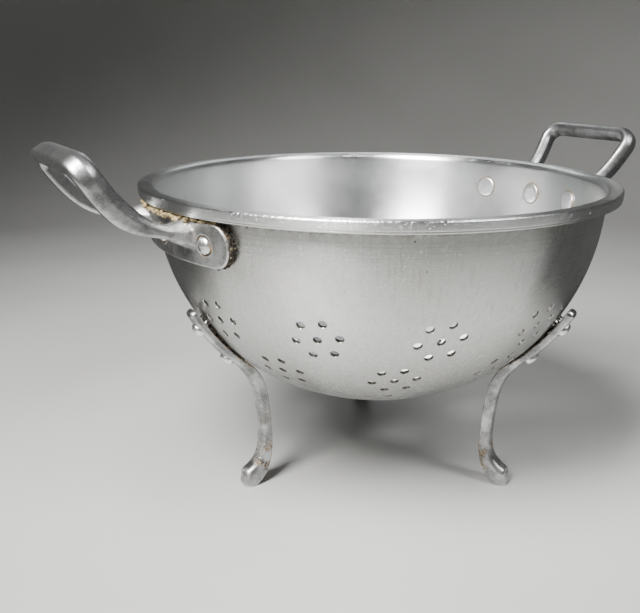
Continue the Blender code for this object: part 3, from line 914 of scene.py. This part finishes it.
def make_dirt(name, mat, voxel, lumps):
    """Fuse lumps into one piece: each has a depth, angle, lift, radius and squash."""
    bm = bmesh.new()
    for depth, angle, lift, radius, squash in lumps:
        place = Matrix.Translation(bowl_point(depth, angle, lift)[0])
        shape = Matrix.Diagonal((radius, radius, radius * squash, 1.0))
        bmesh.ops.create_icosphere(bm, subdivisions=2, radius=1.0, matrix=place @ shape)
    return piece(name, cast(bm, name, voxel, 1), "cast_aluminium", (mat,))


# --- materials ---


class Nodes:
    """Short calls that add and join nodes in one material."""

    def __init__(self, name, metallic=1.0):
        self.mat = bpy.data.materials.new(name)
        self.mat.use_nodes = True
        self.tree = self.mat.node_tree
        self.shader = self.tree.nodes["Principled BSDF"]
        self.shader.inputs["Metallic"].default_value = metallic
        self.object_space = self.add("ShaderNodeTexCoord").outputs["Object"]

    def add(self, kind, **settings):
        node = self.tree.nodes.new(kind)
        for key, value in settings.items():
            setattr(node, key, value)
        return node

    def put(self, socket, value):
        if isinstance(value, bpy.types.NodeSocket):
            self.tree.links.new(value, socket)
        else:
            socket.default_value = value

    def fill(self, node, **inputs):
        for key, value in inputs.items():
            self.put(node.inputs[key], value)

    def math(self, operation, a, b=0.0, clamp=False):
        node = self.add("ShaderNodeMath", operation=operation, use_clamp=clamp)
        self.put(node.inputs[0], a)
        self.put(node.inputs[1], b)
        return node.outputs[0]

    def times(self, a, b, clamp=False):
        return self.math("MULTIPLY", a, b, clamp)

    def noise(self, scale, detail=4.0, rough=0.55, vector=None, w=None):
        node = self.add("ShaderNodeTexNoise", noise_dimensions="4D" if w is not None else "3D")
        self.fill(node, Vector=vector or self.object_space)
        if w is not None:
            self.fill(node, W=w)
        self.fill(node, Scale=scale, Detail=detail, Roughness=rough)
        return node.outputs["Fac"]

    def ramp(self, value, low, high, start=0.0, end=1.0):
        """Map low..high smoothly to start..end."""
        node = self.add("ShaderNodeMapRange", interpolation_type="SMOOTHSTEP")
        self.put(node.inputs["Value"], value)
        keys = ("From Min", "From Max", "To Min", "To Max")
        for key, number in zip(keys, (low, high, start, end)):
            node.inputs[key].default_value = number
        return node.outputs[0]

    def mix(self, factor, a, b):
        node = self.add("ShaderNodeMix", data_type="RGBA")
        self.put(node.inputs["Factor"], factor)
        for key, colour in (("A", a), ("B", b)):
            socket = [s for s in node.inputs if s.name == key and s.type == "RGBA"][0]
            self.put(socket, colour if isinstance(colour, bpy.types.NodeSocket) else (*colour, 1.0))
        return [s for s in node.outputs if s.type == "RGBA"][0]

    def attribute(self, name):
        return self.add("ShaderNodeAttribute", attribute_name=name).outputs["Fac"]

    def vector(self, operation, a, b=None):
        node = self.add("ShaderNodeVectorMath", operation=operation)
        self.put(node.inputs[0], a)
        if b is not None:
            self.put(node.inputs[1], b)
        return node.outputs["Value" if operation == "LENGTH" else "Vector"]

    def scaled(self, vector, factors):
        return self.vector("MULTIPLY", vector, factors)

    def bump(self, height, distance, strength=1.0, below=None):
        node = self.add("ShaderNodeBump")
        self.fill(node, Strength=strength, Distance=distance * MM, Height=height)
        if below is not None:
            self.fill(node, Normal=below)
        return node.outputs[0]

    def around(self):
        """Coordinates that change fast down the wall and slowly round it, and the radius."""
        flat = self.scaled(self.object_space, (1.0, 1.0, 0.0))
        height = self.scaled(self.object_space, (0.0, 0.0, 1.0))
        slow = self.scaled(self.vector("NORMALIZE", flat), (0.0016, 0.0016, 0.0))
        return self.vector("ADD", slow, height), self.vector("LENGTH", flat)

    def scratches(self, direction, fine, along, cut):
        """Short hairlines: noise stretched along one direction, kept only at its peaks."""
        turn = self.add("ShaderNodeVectorRotate", rotation_type="EULER_XYZ")
        self.fill(turn, Vector=self.object_space, Rotation=direction)
        stretched = self.scaled(turn.outputs[0], (fine, along, fine))
        return self.ramp(self.noise(1.0, 2.0, 0.5, stretched), cut, cut + 0.05)

    def brush_round(self):
        """Stretch the highlights across brush marks that run round the Z axis."""
        self.shader.inputs["Anisotropic"].default_value = 0.85
        self.shader.inputs["Anisotropic Rotation"].default_value = 0.25
        tangent = self.add("ShaderNodeTangent", direction_type="RADIAL", axis="Z")
        self.put(self.shader.inputs["Tangent"], tangent.outputs[0])

    def finish(self, colour, roughness, normal):
        self.put(self.shader.inputs["Base Color"], colour)
        self.put(self.shader.inputs["Roughness"], roughness)
        self.put(self.shader.inputs["Normal"], normal)
        return self.mat


def spun_outside():
    """Brushed round the bowl, tinted, pitted, scratched, nicked along the rim. The rim also has a
    painted reflection and its outer edge a painted highlight; the lines under the rim and along the
    arms and the darker lower part carry painted shade.
    """
    n = Nodes("spun_outside")
    vector, radial = n.around()
    streak = n.noise(900.0, 3.0, 0.6, vector, n.times(radial, 900.0))
    broad = n.noise(160.0, 3.0, 0.5, vector, n.times(radial, 160.0))
    cloud = n.noise(16.0, 4.0, 0.6)
    tint = n.noise(9.0, 3.0, 0.5)
    base = n.mix(n.ramp(cloud, 0.35, 0.7), (0.60, 0.61, 0.59), (0.70, 0.70, 0.67))
    base = n.mix(n.ramp(tint, 0.45, 0.7, 0.0, 0.5), base, (0.60, 0.63, 0.62))
    base = n.mix(n.ramp(streak, 0.35, 0.65, 0.0, 0.45), base, (0.82, 0.82, 0.81))
    base = n.mix(n.ramp(broad, 0.5, 0.7, 0.0, 0.5), base, (0.42, 0.42, 0.40))
    upright = n.noise(1.0, 4.0, 0.6, n.scaled(n.object_space, (420.0, 420.0, 22.0)))
    on_wall = n.math("SUBTRACT", 1.0, n.attribute("rim"), True)
    marks = n.times(n.ramp(upright, 0.48, 0.68, 0.0, 0.22), on_wall)
    base = n.mix(marks, base, (0.40, 0.405, 0.40))
    # Darker towards the bottom: tarnish, and painted shade for the dark floor reflected there.
    base = n.mix(n.times(n.attribute("tarnish_and_shade"), 0.8), base, (0.24, 0.24, 0.235))
    pits = n.add("ShaderNodeTexVoronoi")
    n.fill(pits, Scale=130.0, Vector=n.object_space)
    pit = n.times(n.ramp(pits.outputs["Distance"], 0.05, 0.10, 1.0, 0.0),
                 n.ramp(n.noise(60.0, 2.0), 0.55, 0.62))
    lines = n.math("MAXIMUM", n.scratches((0.3, 0.5, 0.9), 900.0, 22.0, 0.63),
                   n.scratches((1.2, 0.2, 2.1), 1100.0, 30.0, 0.64))
    base = n.mix(n.times(lines, 0.6), base, (0.92, 0.92, 0.91))
    base = n.mix(pit, base, (0.16, 0.15, 0.13))
    # Brown dirt, with painted shade in the line under the rim and along the legs' arms.
    dirt_and_shade = n.times(n.attribute("grime_and_shade"), n.ramp(n.noise(220.0, 4.0), 0.35, 0.6), True)
    base = n.mix(dirt_and_shade, base, (0.23, 0.17, 0.10))
    # Painted reflection: the rim made near white and bluish.
    base = n.mix(n.times(n.attribute("rim"), 0.6), base, (0.90, 0.91, 0.92))
    arris = n.attribute("arris")
    # Painted highlight along the rim's top outer edge, broken up like nicks.
    nick_and_glint = n.ramp(n.noise(420.0, 2.0, 0.6), 0.5, 0.62)
    base = n.mix(n.times(arris, nick_and_glint), base, (0.93, 0.93, 0.93))
    rough = n.ramp(cloud, 0.3, 0.75, 0.26, 0.38)
    rough = n.math("ADD", rough, n.ramp(streak, 0.3, 0.7, -0.05, 0.06))
    rough = n.math("ADD", rough, n.times(marks, 0.15))
    rough = n.math("ADD", rough, n.times(dirt_and_shade, 0.35), True)
    height = n.math("ADD", n.times(streak, 0.5), n.times(broad, 0.5))
    normal = n.bump(height, 0.05, 0.55)
    normal = n.bump(n.noise(26.0, 2.0), 0.9, 0.22, normal)
    normal = n.bump(n.times(arris, n.noise(520.0, 2.0)), 0.5, 0.8, normal)
    normal = n.bump(n.times(n.math("MAXIMUM", lines, pit), -1.0), 0.08, 0.7, normal)
    n.brush_round()
    return n.finish(base, rough, normal)


def spun_inside():
    """Smoother than the outside, with soft polishing bands and small marks."""
    n = Nodes("spun_inside")
    vector, radial = n.around()
    streak = n.noise(1100.0, 3.0, 0.6, vector, n.times(radial, 1100.0))
    cloud = n.noise(14.0, 4.0, 0.6)
    base = n.mix(n.ramp(cloud, 0.35, 0.7), (0.68, 0.70, 0.70), (0.76, 0.77, 0.76))
    base = n.mix(n.ramp(streak, 0.3, 0.7, 0.0, 0.15), base, (0.84, 0.85, 0.85))
    lines = n.scratches((0.2, 1.1, 0.4), 800.0, 20.0, 0.71)
    base = n.mix(n.times(lines, 0.3), base, (0.90, 0.90, 0.90))
    stain = n.times(n.attribute("grime_and_shade"), n.ramp(n.noise(260.0, 4.0), 0.35, 0.62), True)
    base = n.mix(n.times(stain, 0.8), base, (0.36, 0.27, 0.14))
    rough = n.ramp(cloud, 0.3, 0.75, 0.27, 0.36)
    rough = n.math("ADD", rough, n.ramp(streak, 0.3, 0.7, -0.03, 0.04))
    normal = n.bump(streak, 0.04, 0.4)
    normal = n.bump(n.noise(20.0, 2.0), 0.8, 0.18, normal)
    n.brush_round()
    return n.finish(base, rough, normal)


def hole_side():
    """The dull, dirty side of a punched hole."""
    n = Nodes("hole_side", metallic=0.6)
    base = n.mix(n.ramp(n.noise(500.0, 3.0), 0.4, 0.62), (0.05, 0.045, 0.038), (0.16, 0.15, 0.13))
    rough = n.ramp(n.noise(300.0), 0.3, 0.7, 0.5, 0.7)
    return n.finish(base, rough, n.bump(n.noise(1200.0), 0.1, 0.5))


def cast_metal():
    """Tumbled casting: mottled grey skin, bright rubbed edges, brown dirt in the corners, and
    painted shade in the hollows and on the legs' sides next to the bowl.
    """
    n = Nodes("cast_aluminium_worn")
    cloud = n.noise(70.0, 5.0, 0.65)
    grain = n.noise(1400.0, 3.0, 0.6)
    lumps = n.noise(240.0, 3.0, 0.5)
    base = n.mix(n.ramp(cloud, 0.36, 0.66), (0.16, 0.162, 0.162), (0.47, 0.478, 0.482))
    base = n.mix(n.ramp(grain, 0.42, 0.68, 0.0, 0.4), base, (0.56, 0.567, 0.57))
    rubbed = n.ramp(n.noise(300.0, 3.0), 0.3, 0.55, 0.45, 1.0)
    wear = n.times(n.attribute("wear"), rubbed)
    base = n.mix(wear, base, (0.88, 0.88, 0.87))
    stain = n.ramp(n.noise(45.0, 5.0, 0.7), 0.56, 0.70, 0.0, 0.5)
    base = n.mix(stain, base, (0.20, 0.175, 0.135))
    broken = n.ramp(n.noise(380.0, 4.0, 0.6), 0.3, 0.58, 0.4, 1.3)
    # This layer is dirt, with painted shade in the hollows and on the legs' sides next to the bowl.
    dirt_and_shade = n.times(n.attribute("grime_and_shade"), broken, True)
    dirt_and_shade_tone = n.mix(n.ramp(n.noise(150.0, 3.0), 0.4, 0.62), (0.04, 0.033, 0.024), (0.19, 0.12, 0.05))
    base = n.mix(dirt_and_shade, base, dirt_and_shade_tone)
    rough = n.ramp(cloud, 0.3, 0.7, 0.44, 0.30)
    rough = n.math("SUBTRACT", rough, n.times(wear, 0.10))
    rough = n.math("ADD", rough, n.times(dirt_and_shade, 0.45), True)
    normal = n.bump(lumps, 0.35, 0.5)
    normal = n.bump(grain, 0.10, 0.6, normal)
    normal = n.bump(n.times(dirt_and_shade, n.noise(900.0, 2.0)), 0.5, 0.8, normal)
    n.put(n.shader.inputs["Metallic"], n.math("SUBTRACT", 1.0, dirt_and_shade, True))
    return n.finish(base, rough, normal)


def rivet_metal():
    """Soft bright rivet heads with small hammer marks."""
    n = Nodes("rivet_aluminium_worn")
    cloud = n.noise(220.0, 4.0, 0.6)
    base = n.mix(n.ramp(cloud, 0.35, 0.68), (0.76, 0.77, 0.78), (0.92, 0.92, 0.92))
    base = n.mix(n.ramp(n.noise(700.0, 2.0), 0.62, 0.70, 0.0, 0.5), base, (0.35, 0.33, 0.30))
    rough = n.ramp(cloud, 0.3, 0.7, 0.42, 0.28)
    normal = n.bump(cloud, 0.35, 0.35)
    normal = n.bump(n.noise(1500.0, 2.0), 0.06, 0.5, normal)
    return n.finish(base, rough, normal)


def crust(name, dark, light, spots):
    """Dry, crumbly dirt."""
    n = Nodes(name, metallic=0.0)
    cloud = n.noise(420.0, 5.0, 0.7)
    base = n.mix(n.ramp(cloud, 0.38, 0.62), dark, light)
    base = n.mix(n.ramp(n.noise(900.0, 2.0), 0.60, 0.68), base, spots)
    rough = n.ramp(cloud, 0.3, 0.7, 0.95, 0.75)
    normal = n.bump(n.noise(1300.0, 4.0, 0.7), 0.5, 0.9)
    return n.finish(base, rough, normal)


def floor_finish():
    """Pale matt floor with a faint unevenness."""
    n = Nodes("pale_floor", metallic=0.0)
    cloud = n.noise(3.0, 4.0, 0.5)
    base = n.mix(n.ramp(cloud, 0.3, 0.7), (0.40, 0.40, 0.39), (0.44, 0.44, 0.43))
    return n.finish(base, n.ramp(cloud, 0.3, 0.7, 0.50, 0.58), n.bump(n.noise(90.0), 0.3, 0.1))


# --- stage ---


def make_floor():
    """A pale floor that curves up all round into a low wall."""
    flat, curve, top = 950.0, 450.0, 1500.0
    profile = [(0.0, 0.0), (flat, 0.0)]
    for i in range(1, 13):
        turn = pi / 2.0 * i / 12.0
        profile.append((flat + curve * sin(turn), curve * (1.0 - cos(turn))))
    profile.append((flat + curve, top))
    bm = bmesh.new()
    turned(bm, profile, 96)
    mesh = mesh_from(bm, "floor")
    mesh.materials.append(floor_finish())
    obj = linked("floor", mesh)


def compass(azimuth, elevation):
    """A unit vector towards a direction in degrees."""
    a, e = radians(azimuth), radians(elevation)
    return Vector((cos(a) * cos(e), sin(a) * cos(e), sin(e)))


def make_card(name, first, last):
    """A dark sloping card, which only the reflections see, as is put beside shiny metal."""
    foot, head = (270.0, 8.0), (560.0, 330.0)
    steps = 16
    bm = bmesh.new()
    turns = [compass(first + (last - first) * i / steps, 0.0) for i in range(steps + 1)]
    near, far = [[bm.verts.new(turn * reach + Vector((0.0, 0.0, height))) for turn in turns]
                 for reach, height in (foot, head)]
    for i in range(steps):
        bm.faces.new((near[i], near[i + 1], far[i + 1], far[i]))
    mesh = mesh_from(bm, name)
    n = Nodes(name, metallic=0.0)
    n.shader.inputs["Base Color"].default_value = (0.02, 0.02, 0.02, 1.0)
    n.shader.inputs["Roughness"].default_value = 0.9
    mesh.materials.append(n.mat)
    obj = linked(name, mesh)
    obj.visible_camera = False
    obj.visible_shadow = False
    obj.visible_diffuse = False


def softbox(name, azimuth, elevation, distance, size, power, spread, colour):
    """A soft rectangular light that faces the bowl; directions in degrees, sizes in metres."""
    data = bpy.data.lights.new(name, "AREA")
    data.shape = "RECTANGLE"
    data.size, data.size_y = size
    data.energy = power
    data.color = colour
    data.spread = radians(spread)
    obj = linked(name, data)
    away = compass(azimuth, elevation)
    obj.location = Vector((0.0, 0.0, 0.12)) + away * distance
    obj.rotation_euler = away.to_track_quat("Z", "Y").to_euler()
    obj.visible_camera = False


def make_lights():
    for name, settings in SOFTBOXES.items():
        softbox(name, *settings)
    world = bpy.data.worlds.new("studio")
    world.use_nodes = True
    room = world.node_tree.nodes["Background"]
    room.inputs["Color"].default_value = ROOM_COLOUR
    room.inputs["Strength"].default_value = ROOM_STRENGTH
    bpy.context.scene.world = world


def make_camera():
    data = bpy.data.cameras.new("camera")
    data.sensor_fit = "HORIZONTAL"
    data.sensor_width = 36.0
    data.lens = CAMERA_LENS
    obj = linked("camera", data)
    obj.location = Vector(CAMERA_PLACE) * MM
    obj.rotation_euler = [radians(a) for a in CAMERA_TURN]
    bpy.context.scene.camera = obj


def main():
    make_camera()
    make_lights()
    make_floor()
    for name, span in DARK_CARDS.items():
        make_card(name, *span)
    make_bowl(spun_outside(), spun_inside(), hole_side())
    casting = cast_metal()
    for side in HANDLE_ANGLES:
        make_handle(side, casting)
    for leg, angle in LEG_ANGLES.items():
        make_leg(f"leg_{leg}", angle, casting)
    rivet = rivet_metal()
    tan_dirt, dark_dirt, grit_and_shadow, ring_dirt = [crust(name, *tones) for name, tones in DIRT.items()]
    for index, (name, depth, angle, seat) in enumerate(rivet_places()):
        make_rivet(name, depth, angle, seat, rivet, index)
        make_rivet_ring(name, depth, angle, ring_dirt)
    for side in HANDLE_ANGLES:
        make_dirt(f"grime_plate_{side}", tan_dirt, DIRT_VOXEL, plate_crust(side))
    for side in HANDLE_ANGLES:
        make_dirt(f"grit_and_shadow_skirt_{side}", grit_and_shadow, DIRT_VOXEL, plate_skirt(side))
    for leg in LEG_ANGLES:
        make_dirt(f"grime_arm_{leg}", dark_dirt, ARM_DIRT_VOXEL, arm_crust(leg))


main()
